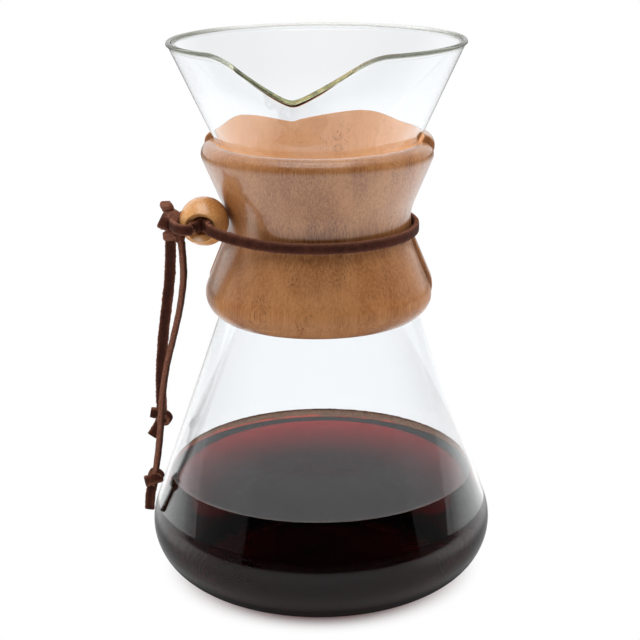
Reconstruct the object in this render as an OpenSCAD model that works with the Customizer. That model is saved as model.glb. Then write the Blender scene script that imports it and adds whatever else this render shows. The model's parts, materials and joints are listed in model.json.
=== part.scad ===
// Pour-over coffee maker: an hourglass glass carafe with a wooden collar in two halves,
// tied round the neck by a leather thong that runs through a wooden bead.
// Millimetres. The carafe stands on z = 0 and its axis is Z. The spout points along -Y,
// the collar is split along the XZ plane, and the bead and the thong's tails are on the -X side.

/* [Glass carafe] */
// Overall height, from the table to the rim
carafe_h = 217; // [207:1:227]
// Outside diameter of the rim
rim_d = 115; // [109:1:121]
// Lean of the funnel's wall from upright, in degrees
funnel_lean = 24.7; // [23:0.1:26]
// Widest outside diameter of the bowl
bowl_d = 138.6; // [132:0.2:146]
// Lean of the bowl's wall from upright, in degrees
bowl_lean = 19.5; // [18:0.1:21]
// Rounding between the base and the bowl's wall
base_round = 21.6; // [16:0.2:27]
// Rounding of the neck between the funnel and the bowl
neck_round = 40; // [30:1:50]
// Thickness of the glass wall
wall = 1.2; // [1:0.1:2.8]
// Thickness of the glass floor
floor_t = 3; // [2.4:0.1:5]
// Height of the shallow hollow under the base
punt_h = 1.2; // [0.5:0.1:2]
// Width of the ring that the carafe stands on
foot_ring_w = 12; // [6:0.5:18]

/* [Spout] */
// How far the spout's tip lies below the rim
spout_drop = 14.5; // [10:0.5:20]
// How far the spout's tip stands out from the funnel's cone
spout_reach = 10.5; // [6:0.5:13]
// Half of the spout's opening, as an angle round the axis
spout_half_angle = 29; // [22:1:38]
// Height between the collar's top and the start of the spout's keel
keel_clear = 3; // [2:0.5:8]

/* [Coffee] */
// Height of the coffee's surface above the table
coffee_level = 43.5; // [20:0.5:70]
// Gap that keeps the coffee clear of the glass
coffee_gap = 0.1; // [0.05:0.05:0.3]

/* [Wooden collar] */
// How far the collar reaches above the neck's narrowest point
collar_above = 30; // [26:0.5:34]
// How far the collar reaches below the neck's narrowest point
collar_below = 40; // [34:0.5:46]
// How far the collar's top lip stands out from the glass
top_lip_w = 5.5; // [4.5:0.1:8]
// How far the collar's bottom lip stands out from the glass
foot_lip_w = 4.8; // [4:0.1:8]
// Lean of the collar's flared sides from upright, in degrees
collar_lean = 22.6; // [21:0.2:24]
// Rounding of the top lip
top_lip_round = 4.6; // [3:0.1:6]
// Rounding of the bottom lip
foot_lip_round = 9.8; // [6:0.2:12]
// Rounding of the waist
waist_round = 25; // [15:1:35]
// Gap between the collar and the glass
collar_gap = 0.3; // [0.2:0.05:0.6]
// Gap between the two halves at the seams
seam_gap = 1.6; // [0.8:0.1:3]
// How much higher the rear half sits than the front half
rear_rise = 2.5; // [0:0.5:4]

/* [Bead] */
// Diameter of the bead
bead_d = 19; // [17:0.5:22]
// Diameter of the bead's hole
bead_hole_d = 7.4; // [7.2:0.1:8.4]
// Diameter of the countersunk mouth of the hole
bead_mouth_d = 12; // [9:0.5:13]
// Where the bead sits round the collar, in degrees from the left seam to the front
bead_turn = 29.5; // [20:0.5:36]
// Height of the bead's centre above the neck's narrowest point
bead_rise = 1.7; // [0:0.1:5]
// Tilt of the bead's hole, front mouth down, in degrees
bead_tilt = 8; // [0:1:12]
// Gap between the bead and the collar
bead_gap = 0.3; // [0.2:0.1:1]

/* [Leather thong] */
// Width of the thong
thong_w = 4.2; // [3.6:0.1:4.6]
// Thickness of the thong
thong_t = 2.1; // [1.6:0.1:2.3]
// Height of the thong's wrap below the neck's narrowest point
thong_drop = 4.2; // [1:0.2:6]
// Gap between the thong and the collar
thong_gap = 0.3; // [0.2:0.05:0.6]
// Radius of the main knot's largest lump
knot_r = 4.2; // [3.4:0.1:4.6]
// Radius of the knots near the ends of the tails
end_knot_r = 3.6; // [3:0.1:4.4]

/* [Hidden] */

$fn = 96;
arc_steps = 14;
// How far a cutting shape runs past the face that it cuts
past = 1;

// Straight walls of the glass, as lines in the plane of radius and height
tan_bowl = tan(bowl_lean);
tan_funnel = tan(funnel_lean);
bowl_at_base = bowl_d / 2 + base_round * (tan_bowl + 1 / cos(bowl_lean) - 1);
funnel_at_base = rim_d / 2 - tan_funnel * carafe_h;
neck_z = (bowl_at_base - funnel_at_base) / (tan_bowl + tan_funnel);
foot_r = bowl_at_base - base_round * (tan_bowl + 1 / cos(bowl_lean));

// Heights that follow from the sizes above
collar_top = neck_z + collar_above;
collar_foot = neck_z - collar_below;
thong_z = neck_z - thong_drop;
bead_z = neck_z + bead_rise;
// The turned glass and the funnel with its spout join this far below the collar's top
join_below = 10;
join_z = collar_top - join_below;
keel_z = collar_top + rear_rise + keel_clear;

function unit(v) = v / norm(v);

// Points along the arc that rounds the corner b between a and c
function corner(a, b, c, r) =
    let (
        u = unit(a - b),
        v = unit(c - b),
        half = acos(u * v) / 2,
        p = b + u * r / tan(half),
        q = b + v * r / tan(half),
        m = b + unit(u + v) * r / sin(half),
        from = atan2(p[1] - m[1], p[0] - m[0]),
        to = atan2(q[1] - m[1], q[0] - m[0]),
        turn = ((to - from + 540) % 360) - 180
    )
    [for (i = [0 : arc_steps]) m + r * [cos(from + turn * i / arc_steps), sin(from + turn * i / arc_steps)]];

// An open outline whose inner corners are rounded: each point is [radius, height, rounding]
function flat(p) = [p[0], p[1]];
function rounded(pts) =
    [for (i = [0 : len(pts) - 1])
        each (i == 0 || i == len(pts) - 1)
            ? [flat(pts[i])]
            : corner(flat(pts[i - 1]), flat(pts[i]), flat(pts[i + 1]), pts[i][2])];

// Outline of the glass, moved outward by off, from its base at base_z up to the height top
function bowl_line(off) = bowl_at_base + off / cos(bowl_lean);
function funnel_line(off) = funnel_at_base + off / cos(funnel_lean);
function glass_neck(off) = (bowl_line(off) - funnel_line(off)) / (tan_bowl + tan_funnel);
function glass_outline(off, base_z, top) =
    rounded([
        [0, base_z, 0],
        [bowl_line(off) - tan_bowl * base_z, base_z, base_round + off],
        [bowl_line(off) - tan_bowl * glass_neck(off), glass_neck(off), neck_round - off],
        [funnel_line(off) + tan_funnel * top, top, 0]
    ]);
function reversed(pts) = [for (i = [len(pts) - 1 : -1 : 0]) pts[i]];

// Outline of the collar's outside, moved up by rise, from its axis at the foot to its axis at the top
tan_collar = tan(collar_lean);
lip_spread = tan_collar + 1 / cos(collar_lean) - 1;
top_lip_r = funnel_line(collar_gap) + tan_funnel * collar_top + top_lip_w;
foot_lip_r = bowl_line(collar_gap) - tan_bowl * collar_foot + foot_lip_w;
top_corner_r = top_lip_r + top_lip_round * lip_spread;
foot_corner_r = foot_lip_r + foot_lip_round * lip_spread;
waist_z = (collar_top + collar_foot) / 2 + (foot_corner_r - top_corner_r) / (2 * tan_collar);
waist_corner_r = top_corner_r - tan_collar * (collar_top - waist_z);
function collar_outline(rise) =
    rounded([
        [0, collar_foot + rise, 0],
        [foot_corner_r, collar_foot + rise, foot_lip_round],
        [waist_corner_r, waist_z + rise, waist_round],
        [top_corner_r, collar_top + rise, top_lip_round],
        [0, collar_top + rise, 0]
    ]);

// Radius of the collar's waist at height z, near the rounding of the waist
waist_centre_r = waist_corner_r + waist_round / cos(collar_lean);
function waist_r(z, rise) =
    let (dz = z - waist_z - rise)
    abs(dz) < waist_round * sin(collar_lean)
        ? waist_centre_r - sqrt(waist_round * waist_round - dz * dz)
        : waist_corner_r + tan_collar * abs(dz);

// The thong's wrap clears the waist of both halves over the thong's whole width
wrap_r = max([for (dz = [-thong_w / 2, thong_w / 2]) for (rise = [0, rear_rise]) waist_r(thong_z + dz, rise)])
    + thong_gap + thong_t / 2;
function on_wrap(angle) = [wrap_r * cos(angle), wrap_r * sin(angle), thong_z];

// The bead touches the collar's waist, and its hole runs nearly along Y
bead_out = max([for (k = [-60 : 10 : 60])
    waist_r(bead_z + bead_d / 2 * sin(k), 0) + bead_d / 2 * cos(k)]) + bead_gap;
bead_at = [-bead_out * cos(bead_turn), -bead_out * sin(bead_turn), bead_z];
hole_dir = [0, -cos(bead_tilt), -sin(bead_tilt)];
hole_side = [1, 0, 0];
hole_up = cross(hole_side, hole_dir);
// The strands run straight to this far inside the bead's surface
hole_end_in = 1;
hole_half = bead_d / 2 - hole_end_in;

// A rod of length 2 long and radius r with round ends, along Y, as a turned outline
module round_rod(r, long) {
    rotate([90, 0, 0]) {
        rotate_extrude() {
            polygon(concat(
                [[0, -long - r * sin(45)]],
                [for (a = [-45 : 15 : 0]) [r * cos(a), -long + r * sin(a)]],
                [for (a = [0 : 15 : 45]) [r * cos(a), long + r * sin(a)]],
                [[0, long + r * sin(45)]]
            ));
        }
    }
}

// One flat lace with bevelled edges, swept along its route.
// Each stop of the route is [point, direction of the lace's width].
lace_bevel = 0.5;
function lace_section(w, t) = [
    [w / 2, t / 2 - lace_bevel], [w / 2 - lace_bevel, t / 2],
    [lace_bevel - w / 2, t / 2], [-w / 2, t / 2 - lace_bevel],
    [-w / 2, lace_bevel - t / 2], [lace_bevel - w / 2, -t / 2],
    [w / 2 - lace_bevel, -t / 2], [w / 2, lace_bevel - t / 2]
];
function lace_ring(stops, i, ahead) =
    let (
        last = len(stops) - 1,
        along = ahead != undef ? ahead : unit(stops[min(i + 1, last)][0] - stops[max(i - 1, 0)][0]),
        wide = unit(stops[i][1] - along * (along * stops[i][1])),
        thick = cross(along, wide)
    )
    [for (s = lace_section(thong_w, thong_t)) stops[i][0] + wide * s[0] + thick * s[1]];
module lace(stops, start_dir = undef, end_dir = undef) {
    n = len(stops);
    points = [for (i = [0 : n - 1])
        each lace_ring(stops, i, i == 0 ? start_dir : i == n - 1 ? end_dir : undef)];
    sides = [for (i = [0 : n - 2]) for (k = [0 : 7])
        let (a = 8 * i + k, b = 8 * i + (k + 1) % 8)
        each [[a, a + 8, b + 8], [a, b + 8, b]]];
    caps = [[for (k = [0 : 7]) k], [for (k = [7 : -1 : 0]) 8 * (n - 1) + k]];
    polyhedron(points = points, faces = concat(sides, caps));
}

// Two strands share the bead's hole and turn half round each other on the way through.
// The strand at angle side starts at the front mouth and ends at the rear mouth.
strand_gap = 0.5;
strand_apart = (thong_t + strand_gap) / 2;
hole_stops = 12;
function in_hole(side) =
    [for (i = [0 : hole_stops])
        let (
            turn = side + 180 * i / hole_stops,
            out = hole_side * cos(turn) + hole_up * sin(turn),
            wide = hole_up * cos(turn) - hole_side * sin(turn)
        )
        [bead_at + hole_dir * hole_half * (1 - 2 * i / hole_stops) + out * strand_apart, wide]];
upright = [0, 0, 1];
function stand(points, wide) = [for (p = points) [p, wide]];

// The thong leaves the wrap, bends and enters the hole: stops between two points along a smooth bend.
// The first reach is how far the bend keeps to the wrap, the second how far it keeps to the hole.
bend_stops = 6;
front_reach = [16, 5];
side_reach = [5, 4];
wrap_leave = 258;
function bend_point(a, b, c, d, t) =
    pow(1 - t, 3) * a + 3 * pow(1 - t, 2) * t * b + 3 * (1 - t) * t * t * c + pow(t, 3) * d;
function bend(from, from_dir, to, to_dir, reach) =
    [for (i = [1 : bend_stops - 1])
        bend_point(from, from + from_dir * reach[0], to - to_dir * reach[1], to, i / bend_stops)];
front_lead = bend(on_wrap(wrap_leave), [sin(wrap_leave), -cos(wrap_leave), 0],
                  in_hole(0)[0][0], -hole_dir, front_reach);
side_lead = bend(on_wrap(180), [0, -1, 0], in_hole(180)[hole_stops][0], hole_dir, side_reach);

// Loops that the two strands make from the bead to the knot, in radii of the bead from its centre
bead_r = bead_d / 2;
rear_loop = [[-0.14, 1.2, 0.1], [-0.45, 1.3, 0.08], [-0.77, 1.16, 0.04], [-1.04, 0.84, -0.02],
             [-1.27, 0.34, -0.05]];
front_loop = [[-0.16, -1.14, -0.22], [-0.47, -1.22, -0.23], [-0.81, -1.07, -0.21], [-1.08, -0.76, -0.16],
              [-1.29, -0.3, -0.1]];
rear_link = [for (p = rear_loop) bead_at + bead_r * p];
front_link = [for (p = front_loop) bead_at + bead_r * p];

// The main knot hangs beside the bead, and the tails' routes run down from the knot's middle, chosen by hand
knot_at = bead_at + [-bead_r - knot_r, 1, -4.4];
long_route = [[4.8, -2.4, -4.7], [5.1, -2.4, -11], [5, -2.3, -18.5], [3.2, -2.2, -30], [0.1, -2.2, -42.5],
              [-3.2, -2.3, -55], [-5.4, -2.4, -68], [-6.6, -2.4, -80.5], [-7.7, -2.4, -89.5], [-9, -2.4, -97.4]];
long_end = [[-10.3, -2.5, -103], [-11.9, -2.6, -109.5], [-12.5, -2.6, -116]];
short_route = [[-0.9, 2.8, -4.7], [-1.5, 3.9, -12], [-2.4, 4.9, -20.4], [-4.1, 5.8, -31], [-5.7, 6, -41],
               [-7, 6, -52], [-7.8, 5.95, -62], [-8.1, 5.9, -71]];
short_end = [[-7.8, 5.8, -79.5], [-10, 5.6, -83.5], [-12.3, 5.4, -87.2]];

module carafe() {
    color("lightcyan", 0.4) union() {
        carafe_below_join();
        funnel_with_spout();
    }
}

// Bowl, neck and the start of the funnel, turned about the axis
module carafe_below_join() {
    outside = glass_outline(0, 0, join_z);
    inside = glass_outline(-wall, floor_t, join_z);
    punt_r = foot_r - foot_ring_w;
    punt_slope_w = punt_r / 4;
    punt = [[0, punt_h], [punt_r - punt_slope_w, punt_h], [punt_r, 0]];
    beyond_axis = [for (i = [1 : len(outside) - 1]) outside[i]];
    rotate_extrude() polygon(concat(punt, beyond_axis, reversed(inside)));
}

// How strongly the spout acts at an angle from its middle: 1 at the tip, 0 on the plain rim
tip_blunt = 0.08;
shoulder_blend = 0.25;
function spout_share(angle) =
    let (
        u = angle / spout_half_angle,
        v = 1 - sqrt(u * u + tip_blunt * tip_blunt),
        w = v > shoulder_blend ? v : v < -shoulder_blend ? 0 : pow(v + shoulder_blend, 2) / (4 * shoulder_blend)
    )
    w / (1 - tip_blunt);

// The funnel's rings are sunk into the wall below the join and keep this far inside its faces there
join_sunk = 4;
join_inset = 0.12;
join_fade_from = join_z + 1;
join_fade_to = join_z + 7;
keel_power = 1.4;
funnel_sides = 72;
funnel_rings = 10;
rim_soft = 0.8;
function funnel_point(i, level, inner) =
    let (
        angle = 360 * i / funnel_sides,
        away = min(angle, 360 - angle),
        share = spout_share(away),
        rim_z = carafe_h - spout_drop * share,
        low = join_z - join_sunk,
        z = low + (rim_z - rim_soft - low) * level,
        keel = z > keel_z ? pow((z - keel_z) / (rim_z - keel_z), keel_power) : 0,
        fade = (join_fade_to - z) / (join_fade_to - join_fade_from),
        inset = join_inset * max(0, min(1, fade)),
        outside = funnel_line(0) + tan_funnel * z + spout_reach * share * keel,
        r = inner ? outside - wall / cos(funnel_lean) + inset : outside - inset
    )
    [r * sin(angle), -r * cos(angle), z];
function rim_point(i) = (funnel_point(i, 1, false) + funnel_point(i, 1, true)) / 2 + [0, 0, rim_soft];

module funnel_with_spout() {
    rows = 2 * funnel_rings + 3;
    points = [
        for (k = [0 : funnel_rings]) for (i = [0 : funnel_sides - 1]) funnel_point(i, k / funnel_rings, false),
        for (i = [0 : funnel_sides - 1]) rim_point(i),
        for (k = [funnel_rings : -1 : 0]) for (i = [0 : funnel_sides - 1]) funnel_point(i, k / funnel_rings, true)
    ];
    faces = [for (k = [0 : rows - 1]) for (i = [0 : funnel_sides - 1])
        let (
            a = k * funnel_sides + i,
            b = k * funnel_sides + (i + 1) % funnel_sides,
            c = ((k + 1) % rows) * funnel_sides + (i + 1) % funnel_sides,
            d = ((k + 1) % rows) * funnel_sides + i
        )
        each [[a, c, b], [a, d, c]]];
    polyhedron(points = points, faces = faces);
}

module coffee() {
    outline = glass_outline(-wall - coffee_gap, floor_t + coffee_gap, collar_top);
    color([0.12, 0.04, 0.02]) intersection() {
        rotate_extrude() polygon(concat(outline, [[0, collar_top]]));
        cylinder(h = coffee_level, r = bowl_d);
    }
}

module collar_ring(rise) {
    difference() {
        rotate_extrude() polygon(collar_outline(rise));
        rotate_extrude() polygon(concat(glass_outline(collar_gap, 0, carafe_h), [[0, carafe_h]]));
    }
}

// The half of space in front of the seam, or behind it with side = 1
module seam_side(side) {
    far = bowl_d;
    translate([-far, side < 0 ? -far : seam_gap / 2, 0])
        cube([2 * far, far - (side < 0 ? seam_gap / 2 : 0), carafe_h]);
}

module collar_front_half() {
    color([0.78, 0.55, 0.36]) intersection() {
        collar_ring(0);
        seam_side(-1);
    }
}

module collar_rear_half() {
    color([0.76, 0.53, 0.34]) intersection() {
        collar_ring(rear_rise);
        seam_side(1);
    }
}

module bead() {
    mouth_z = sqrt(pow(bead_d / 2, 2) - pow(bead_mouth_d / 2, 2));
    hole_r = bead_hole_d / 2;
    cone_start = mouth_z - (bead_mouth_d / 2 - hole_r);
    cone_h = bead_d / 2 + past - cone_start;
    color([0.80, 0.58, 0.34]) translate(bead_at) rotate([90 + bead_tilt, 0, 0]) difference() {
        sphere(d = bead_d);
        cylinder(h = 2 * bead_d, d = bead_hole_d, center = true);
        for (turned = [0, 180]) {
            rotate([turned, 0, 0])
                translate([0, 0, cone_start])
                    cylinder(h = cone_h, r1 = hole_r, r2 = hole_r + cone_h);
        }
    }
}

// The wrap has a stop every few degrees
wrap_step = 6;

module thong_front() {
    first = stand([for (a = [360 : -wrap_step : wrap_leave]) on_wrap(a)], upright);
    route = concat(first, stand(front_lead, upright), in_hole(0), stand(rear_link, -upright));
    color([0.33, 0.19, 0.15]) lace(route, start_dir = [0, -1, 0]);
}

module thong_rear() {
    route = stand([for (a = [0 : wrap_step : 180]) on_wrap(a)], upright);
    color([0.33, 0.19, 0.15]) lace(route, start_dir = [0, 1, 0], end_dir = [0, -1, 0]);
}

module thong_side() {
    first = stand(concat([on_wrap(180)], side_lead), upright);
    route = concat(first, reversed(in_hole(180)), stand(front_link, -upright));
    color([0.33, 0.19, 0.15]) lace(route, start_dir = [0, -1, 0]);
}

// The main knot is four lumps of lace, each [place from the knot's middle, radius, half length]
knot_lumps = [
    [[0, 0, 0], knot_r, 2],
    [[0.69 * knot_r, -0.8, -0.48 * knot_r], 0.57 * knot_r, 1.4],
    [[0.2, 0, 1.35 * knot_r], 0.88 * knot_r, 2],
    [[-0.6, 0, 2.3 * knot_r], 0.6 * knot_r, 1]
];

module thong_knot() {
    color([0.36, 0.21, 0.16]) union() {
        for (lump = knot_lumps) {
            translate(knot_at + lump[0]) round_rod(lump[1], lump[2]);
        }
    }
}

// The long tail shows its edge to the front, the short one its face
end_knot_half = 0.6;
wide_long = [0, 1, 0];
wide_short = [1, 0, 0];

module tail_long() {
    route = concat(long_route, [long_end[0]]);
    color([0.22, 0.12, 0.09]) translate(knot_at) lace(stand(route, wide_long));
}

module tail_long_knot() {
    color([0.28, 0.16, 0.12]) translate(knot_at) union() {
        translate(long_end[0]) round_rod(end_knot_r, end_knot_half);
        lace(stand(long_end, wide_short));
    }
}

module tail_short() {
    route = concat(short_route, [short_end[0]]);
    color([0.22, 0.12, 0.09]) translate(knot_at) lace(stand(route, wide_short));
}

module tail_short_knot() {
    color([0.28, 0.16, 0.12]) translate(knot_at) union() {
        translate(short_end[0]) round_rod(end_knot_r, end_knot_half);
        lace(stand(short_end, wide_short));
    }
}

carafe();
coffee();
collar_front_half();
collar_rear_half();
bead();
thong_front();
thong_rear();
thong_side();
thong_knot();
tail_long();
tail_long_knot();
tail_short();
tail_short_knot();
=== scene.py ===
# %% [markdown]
# # Dressing a pour-over coffee maker
# The solid model of the coffee maker is already packed: a glass carafe, coffee, a wooden collar in two
# halves, a bead and a leather thong. This lesson loads that model as a fixed frame and builds the looks
# around it. Sizes are written in millimetres and turned into metres, because Blender works in metres here.

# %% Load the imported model
import json
import math
import bpy
import numpy as np
from mathutils import Matrix, Vector


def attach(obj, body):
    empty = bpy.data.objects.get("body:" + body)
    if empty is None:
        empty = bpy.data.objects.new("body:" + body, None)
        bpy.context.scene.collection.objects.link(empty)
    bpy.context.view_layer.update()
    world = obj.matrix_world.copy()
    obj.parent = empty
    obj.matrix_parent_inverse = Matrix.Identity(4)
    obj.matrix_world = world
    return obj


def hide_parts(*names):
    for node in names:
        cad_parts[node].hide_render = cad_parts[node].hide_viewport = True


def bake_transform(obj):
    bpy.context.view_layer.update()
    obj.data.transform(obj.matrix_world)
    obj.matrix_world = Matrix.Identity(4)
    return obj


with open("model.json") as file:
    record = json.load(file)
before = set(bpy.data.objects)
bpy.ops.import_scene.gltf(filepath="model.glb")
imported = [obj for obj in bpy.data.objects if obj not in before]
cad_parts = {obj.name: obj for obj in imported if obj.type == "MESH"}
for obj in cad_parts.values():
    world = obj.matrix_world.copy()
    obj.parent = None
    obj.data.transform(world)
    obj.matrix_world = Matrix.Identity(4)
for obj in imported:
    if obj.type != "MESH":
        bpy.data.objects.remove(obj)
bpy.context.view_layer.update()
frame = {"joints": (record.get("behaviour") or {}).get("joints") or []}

mm = 0.001
joint_at = {j["name"]: np.array(j["pos_m"]) for j in frame["joints"] if j.get("pos_m")}

# %% [markdown]
# ## The camera
# The photographer stood a little to the right of the spout and looked down on the carafe from a bit over
# half a metre. One could place a camera by eye, but the rim, the collar and the coffee are circles, and
# their ellipses in a picture fix the camera. The values below are that fit, measured from the carafe's axis.

# %% Place the camera
camera_turn = math.radians(9)
camera_away = 595.2 * mm
camera_height = 286 * mm
camera_pitch = math.radians(16.936)
camera_roll = math.radians(-0.545)
camera_yaw = math.radians(0.027)
camera_lens = 87.04


def turned_about_z(vector, angle):
    return Matrix.Rotation(angle, 3, "Z") @ Vector(vector)


ahead = turned_about_z((math.sin(camera_yaw) * math.cos(camera_pitch),
                        math.cos(camera_yaw) * math.cos(camera_pitch),
                        -math.sin(camera_pitch)), camera_turn)
level_right = turned_about_z((math.cos(camera_yaw), -math.sin(camera_yaw), 0), camera_turn)
level_up = level_right.cross(ahead)
right = level_right * math.cos(camera_roll) + level_up * math.sin(camera_roll)
up = level_up * math.cos(camera_roll) - level_right * math.sin(camera_roll)

camera = bpy.data.objects.new("camera", bpy.data.cameras.new("camera"))
bpy.context.scene.collection.objects.link(camera)
camera.data.lens = camera_lens
camera.data.sensor_width = 36
camera.location = turned_about_z((0, -camera_away, camera_height), camera_turn)
camera.rotation_mode = "QUATERNION"
camera.rotation_quaternion = Matrix((right, up, -ahead)).transposed().to_quaternion()
camera.data.clip_start = 10 * mm
camera.data.clip_end = 50
bpy.context.scene.camera = camera
print("camera at", [round(v, 4) for v in camera.location])

# %% [markdown]
# ## Skins from rows of points
# Every piece here is a skin over rows of points: rings round the carafe, sections along a lace, slices of
# the collar. Subdivision or curve objects would do too, but rows keep each formula of the solid model in
# sight, and the same helper then serves all the pieces.

# %% Helpers that skin rows of points
def skin(name, rows, caps=("fan", "fan"), sharp=35):
    """A smooth mesh over closed rows of points. A cap is fan, face or None."""
    rows = np.asarray(rows, float)
    count, around = rows.shape[:2]
    points = rows.reshape(-1, 3).tolist()
    faces = []
    for k in range(count - 1):
        a, b = k * around, (k + 1) * around
        for i in range(around):
            j = (i + 1) % around
            faces.append((a + i, a + j, b + j, b + i))
    for cap, first in zip(caps, (0, (count - 1) * around)):
        ring = [first + i for i in range(around)]
        if first == 0:
            ring.reverse()
        if cap == "face":
            faces.append(tuple(ring))
        if cap == "fan":
            points.append(rows[0 if first == 0 else -1].mean(0).tolist())
            middle = len(points) - 1
            faces += [(ring[i], ring[(i + 1) % around], middle) for i in range(around)]
    mesh = bpy.data.meshes.new(name)
    mesh.from_pydata(points, [], faces)
    mesh.polygons.foreach_set("use_smooth", [True] * len(mesh.polygons))
    mesh.set_sharp_from_angle(angle=math.radians(sharp))
    piece = bpy.data.objects.new(name, mesh)
    bpy.context.scene.collection.objects.link(piece)
    return piece


def wear(piece, *finishes):
    """Gives a piece its finishes, in the order of its material slots."""
    for finish in finishes:
        piece.data.materials.append(finish)
    return piece


def stands_for(piece, node, body):
    """Puts a piece on its body in place of a node of the solid model."""
    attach(piece, body)
    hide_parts(node)


def unit(vectors):
    vectors = np.asarray(vectors, float)
    return vectors / np.linalg.norm(vectors, axis=-1, keepdims=True)


# %% [markdown]
# ## A finish is a small graph of nodes
# Each finish starts from one Principled shader. What varies over the surface comes from noise in the
# object's own coordinates, so it stays put when the camera moves. A short helper that adds a node and sets
# its sockets keeps the graphs readable.

# %% Helpers for finishes
class Finish:
    """A material under construction, with its nodes and links."""

    def __init__(self, name, **sockets):
        self.material = bpy.data.materials.new(name)
        self.material.use_nodes = True
        self.tree = self.material.node_tree
        self.shader = self.tree.nodes["Principled BSDF"]
        self.output = self.tree.nodes["Material Output"]
        self.set(self.shader, sockets)

    def set(self, node, sockets):
        for socket, value in sockets.items():
            target = node.inputs[int(socket) if socket.isdigit() else socket.replace("_", " ")]
            if isinstance(value, bpy.types.NodeSocket):
                self.tree.links.new(value, target)
            elif isinstance(value, tuple) and len(value) == 3 and target.type == "RGBA":
                target.default_value = (*value, 1)
            else:
                target.default_value = value

    def add(self, kind, settings=None, **sockets):
        node = self.tree.nodes.new("ShaderNode" + kind)
        for name, value in (settings or {}).items():
            setattr(node, name, value)
        self.set(node, sockets)
        return node

    def place(self, scale):
        """The object's own coordinates, in metres, times a scale along each axis."""
        where = self.add("TexCoord").outputs["Object"]
        return self.add("VectorMath", {"operation": "MULTIPLY"}, **{"0": where, "1": scale}).outputs["Vector"]

    def noise(self, vector, scale, detail=3.0, rough=0.55, warp=0.0):
        return self.add("TexNoise", Vector=vector, Scale=scale, Detail=detail, Roughness=rough,
                        Distortion=warp).outputs["Fac"]

    def ramp(self, value, *stops):
        """A colour ramp whose stops are (place, grey) or (place, colour)."""
        node = self.add("ValToRGB", Fac=value)
        band = node.color_ramp
        while len(band.elements) < len(stops):
            band.elements.new(0.5)
        for element, (place, colour) in zip(band.elements, stops):
            element.position = place
            element.color = (*colour, 1) if isinstance(colour, tuple) else (colour, colour, colour, 1)
        return node.outputs["Color"]

    def mix(self, share, one, other, way="MIX"):
        node = self.add("Mix", {"data_type": "RGBA", "blend_type": way})
        self.set(node, {"0": share, "6": one, "7": other})
        return node.outputs[2]

    def maths(self, operation, one, other=0.0):
        return self.add("Math", {"operation": operation}, **{"0": one, "1": other}).outputs["Value"]

    def bump(self, height, distance, strength=1.0):
        return self.add("Bump", Height=height, Distance=distance, Strength=strength).outputs["Normal"]


# %% [markdown]
# ## Leather of the thong
# The thong is a flat lace cut from brown leather. Its faces are darker and smoother, and its cut edges show
# lighter, rough fibres. Two finishes would meet in a hard line. So the mesh of each lace carries a value
# named edge, which is 1 at a cut edge, and one finish shades both. Fine noise stands for the grain and a
# coarser one for scuffs.

# %% Leather finish
def leather_finish(name, dark, light, edge_colour):
    f = Finish(name, Roughness=0.68, Specular_IOR_Level=0.07)
    where = f.place((1, 1, 1))
    grain = f.noise(where, 2600, 4, 0.65)
    scuff = f.noise(where, 420, 3, 0.6)
    fibre = f.noise(where, 5200, 2, 0.7)
    edge = f.add("Attribute", {"attribute_name": "edge"}).outputs["Fac"]
    face = f.mix(f.ramp(scuff, (0.35, 0.0), (0.7, 1.0)), dark, light)
    face = f.mix(f.ramp(grain, (0.3, 0.75), (0.62, 0.0)), face, (0.012, 0.005, 0.004))
    raw = f.mix(f.ramp(fibre, (0.38, 0.0), (0.62, 1.0)), dark, edge_colour)
    height = f.maths("ADD", f.maths("MULTIPLY", grain, 0.6), f.maths("MULTIPLY", fibre, edge))
    f.set(f.shader, {
        "Base Color": f.mix(edge, face, raw),
        "Roughness": f.ramp(f.maths("ADD", scuff, f.maths("MULTIPLY", edge, 0.4)), (0.3, 0.5), (0.9, 0.9)),
        "Normal": f.bump(height, 0.25 * mm, 0.7)})
    return f.material


thong_leather = leather_finish("thong_leather", dark=(0.047, 0.0125, 0.007), light=(0.092, 0.028, 0.016),
                               edge_colour=(0.42, 0.185, 0.120))
print("finish made:", thong_leather.name)

# %% [markdown]
# ## The two hanging tails
# Below the knot the lace hangs in two tails, one shorter than the other, and each ends in a knot of its own.
# They are free cords, so they come first: their routes repeat the points of the solid model, as offsets from
# the knot. A curve with a bevel would give a round cord. A flat lace needs a section that knows which way it
# is wide, so it is swept here, with edges that wander a little as a hand-cut lace does.

# %% Even steps along a route
def run_along(points):
    """The distance along a route at each of its points."""
    return np.concatenate([[0], np.cumsum(np.linalg.norm(np.diff(points, axis=0), axis=1))])


def length_of(route):
    return float(run_along(route)[-1])


def resampled(values, at, places):
    """Rows of values, known at some places, read off at others."""
    return np.stack([np.interp(places, at, column) for column in np.transpose(values)], axis=1)


def smooth_route(points, step):
    """Points at even steps along a smooth curve through the given points."""
    points = np.asarray(points, float)
    padded = np.vstack([2 * points[0] - points[1], points, 2 * points[-1] - points[-2]])
    fine = []
    for a, b, c, d in zip(padded, padded[1:], padded[2:], padded[3:]):
        for t in np.linspace(0, 1, 24, endpoint=False):
            fine.append(0.5 * (2 * b + (c - a) * t + (2 * a - 5 * b + 4 * c - d) * t ** 2
                               + (3 * b - a - 3 * c + d) * t ** 3))
    fine = np.array(fine + [points[-1]])
    run = run_along(fine)
    return resampled(fine, run, np.linspace(0, run[-1], max(4, int(round(run[-1] / step)) + 1)))


# %% Sweep a flat lace along a route
thong_w = 4.2 * mm
thong_t = 2.1 * mm
lace_step = 0.45 * mm
width_drift = 0.03
thick_drift = 0.05
fray_most = 0.07
crown = 0.05
edge_share = np.array([0.25, 0, 0, 0, 0.25, 1, 1, 1, 0.25, 0, 0, 0, 0.25, 1, 1, 1])


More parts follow.
